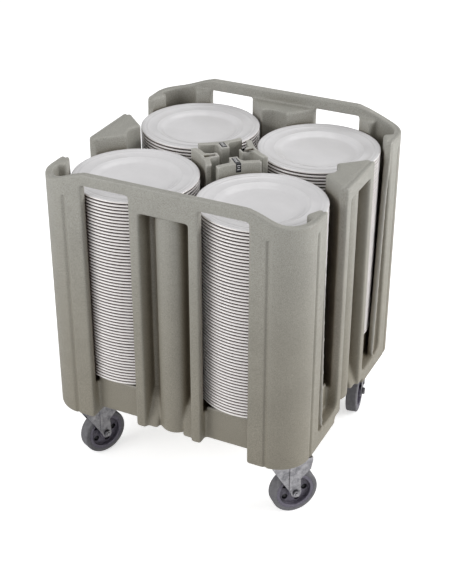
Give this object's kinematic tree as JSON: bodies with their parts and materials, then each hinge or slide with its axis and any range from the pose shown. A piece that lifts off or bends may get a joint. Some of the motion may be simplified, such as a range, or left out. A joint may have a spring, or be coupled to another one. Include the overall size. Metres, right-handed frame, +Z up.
{
  "type": "plate dispenser cart",
  "caption": "Square moulded tub on swivel casters that stores nested plates in open wells, with sliding dividers between the stacks.",
  "frame": {"origin": "on the floor under the middle of the cart", "axes": "+Z up, -Y towards the front wall, +X to the right seen from the front"},
  "size_m": [0.72, 0.72, 0.898],
  "materials": {
    "moulded_plastic": "speckled warm grey polyethylene, satin, lightly textured",
    "white_china": "glossy white glaze, thin warm line at the rim edge",
    "zinc_steel": "bright zinc plated pressed steel",
    "wheel_plastic": "dark purple-grey polypropylene",
    "wheel_tread": "grey thermoplastic rubber, matt",
    "label_plastic": "dark insert with plain pale tick marks"
  },
  "bodies": {
    "cart": {"body_base": "moulded_plastic", "body_front_wall": "moulded_plastic", "body_rear_wall": "moulded_plastic", "body_left_tower": "moulded_plastic", "body_right_tower": "moulded_plastic", "caster_front_left_top_plate": "zinc_steel", "caster_front_left_mount_bolts": "zinc_steel", "caster_front_left_ball_race": "zinc_steel", "caster_front_left_kingpin": "zinc_steel", "caster_front_right_top_plate": "zinc_steel", "caster_front_right_mount_bolts": "zinc_steel", "caster_front_right_ball_race": "zinc_steel", "caster_front_right_kingpin": "zinc_steel", "caster_rear_right_top_plate": "zinc_steel", "caster_rear_right_mount_bolts": "zinc_steel", "caster_rear_right_ball_race": "zinc_steel", "caster_rear_right_kingpin": "zinc_steel", "caster_rear_left_top_plate": "zinc_steel", "caster_rear_left_mount_bolts": "zinc_steel", "caster_rear_left_ball_race": "zinc_steel", "caster_rear_left_kingpin": "zinc_steel"},
    "divider_front_left": {"divider_front_left": "moulded_plastic", "divider_tongue_front_left": "moulded_plastic"},
    "plates_front_left": {"plate_stack_front_left": "white_china"},
    "swivel_front_left": {"caster_front_left_fork": "zinc_steel", "caster_front_left_axle_bolt": "zinc_steel", "caster_front_left_axle_nut": "zinc_steel"},
    "wheel_front_left": {"caster_front_left_wheel_core": "wheel_plastic", "caster_front_left_tread": "wheel_tread", "caster_front_left_bearing_sleeve": "zinc_steel"},
    "divider_front_right": {"divider_front_right": "moulded_plastic", "divider_tongue_front_right": "moulded_plastic", "size_label_front_right": "label_plastic"},
    "plates_front_right": {"plate_stack_front_right": "white_china"},
    "swivel_front_right": {"caster_front_right_fork": "zinc_steel", "caster_front_right_axle_bolt": "zinc_steel", "caster_front_right_axle_nut": "zinc_steel"},
    "wheel_front_right": {"caster_front_right_wheel_core": "wheel_plastic", "caster_front_right_tread": "wheel_tread", "caster_front_right_bearing_sleeve": "zinc_steel"},
    "divider_rear_right": {"divider_rear_right": "moulded_plastic", "divider_tongue_rear_right": "moulded_plastic"},
    "plates_rear_right": {"plate_stack_rear_right": "white_china"},
    "swivel_rear_right": {"caster_rear_right_fork": "zinc_steel", "caster_rear_right_axle_bolt": "zinc_steel", "caster_rear_right_axle_nut": "zinc_steel"},
    "wheel_rear_right": {"caster_rear_right_wheel_core": "wheel_plastic", "caster_rear_right_tread": "wheel_tread", "caster_rear_right_bearing_sleeve": "zinc_steel"},
    "divider_rear_left": {"divider_rear_left": "moulded_plastic", "divider_tongue_rear_left": "moulded_plastic", "size_label_rear_left": "label_plastic"},
    "plates_rear_left": {"plate_stack_rear_left": "white_china"},
    "swivel_rear_left": {"caster_rear_left_fork": "zinc_steel", "caster_rear_left_axle_bolt": "zinc_steel", "caster_rear_left_axle_nut": "zinc_steel"},
    "wheel_rear_left": {"caster_rear_left_wheel_core": "wheel_plastic", "caster_rear_left_tread": "wheel_tread", "caster_rear_left_bearing_sleeve": "zinc_steel"}
  },
  "joints": [
    {"name": "divider_front_left_slide", "type": "slide", "parent": "cart", "child": "divider_front_left", "axis": [-0.697, -0.7171, 0], "range_m": [-0.006, 0.012]},
    {"name": "plates_front_left_lift", "type": "slide", "parent": "cart", "child": "plates_front_left", "axis": [0, 0, 1], "range_m": [0, 0.62]},
    {"name": "caster_front_left_swivel", "type": "hinge", "parent": "cart", "child": "swivel_front_left", "pos_m": [-0.285, -0.275, 0.17], "axis": [0, 0, 1], "continuous": true},
    {"name": "caster_front_left_wheel", "type": "hinge", "parent": "swivel_front_left", "child": "wheel_front_left", "pos_m": [-0.27097, -0.24624, 0.0635], "axis": [0.8988, -0.4384, 0], "continuous": true},
    {"name": "divider_front_right_slide", "type": "slide", "parent": "cart", "child": "divider_front_right", "axis": [0.697, -0.7171, 0], "range_m": [-0.006, 0.012]},
    {"name": "plates_front_right_lift", "type": "slide", "parent": "cart", "child": "plates_front_right", "axis": [0, 0, 1], "range_m": [0, 0.62]},
    {"name": "caster_front_right_swivel", "type": "hinge", "parent": "cart", "child": "swivel_front_right", "pos_m": [0.285, -0.275, 0.17], "axis": [0, 0, 1], "continuous": true},
    {"name": "caster_front_right_wheel", "type": "hinge", "parent": "swivel_front_right", "child": "wheel_front_right", "pos_m": [0.30682, -0.2516, 0.0635], "axis": [0.7314, -0.682, 0], "continuous": true},
    {"name": "divider_rear_right_slide", "type": "slide", "parent": "cart", "child": "divider_rear_right", "axis": [0.697, 0.7171, 0], "range_m": [-0.006, 0.012]},
    {"name": "plates_rear_right_lift", "type": "slide", "parent": "cart", "child": "plates_rear_right", "axis": [0, 0, 1], "range_m": [0, 0.62]},
    {"name": "caster_rear_right_swivel", "type": "hinge", "parent": "cart", "child": "swivel_rear_right", "pos_m": [0.285, 0.275, 0.17], "axis": [0, 0, 1], "continuous": true},
    {"name": "caster_rear_right_wheel", "type": "hinge", "parent": "swivel_rear_right", "child": "wheel_rear_right", "pos_m": [0.29056, 0.24349, 0.0635], "axis": [-0.9848, -0.1736, 0], "continuous": true},
    {"name": "divider_rear_left_slide", "type": "slide", "parent": "cart", "child": "divider_rear_left", "axis": [-0.697, 0.7171, 0], "range_m": [-0.006, 0.012]},
    {"name": "plates_rear_left_lift", "type": "slide", "parent": "cart", "child": "plates_rear_left", "axis": [0, 0, 1], "range_m": [0, 0.62]},
    {"name": "caster_rear_left_swivel", "type": "hinge", "parent": "cart", "child": "swivel_rear_left", "pos_m": [-0.285, 0.275, 0.17], "axis": [0, 0, 1], "continuous": true},
    {"name": "caster_rear_left_wheel", "type": "hinge", "parent": "swivel_rear_left", "child": "wheel_rear_left", "pos_m": [-0.269, 0.24729, 0.0635], "axis": [-0.866, -0.5, 0], "continuous": true}
  ]
}
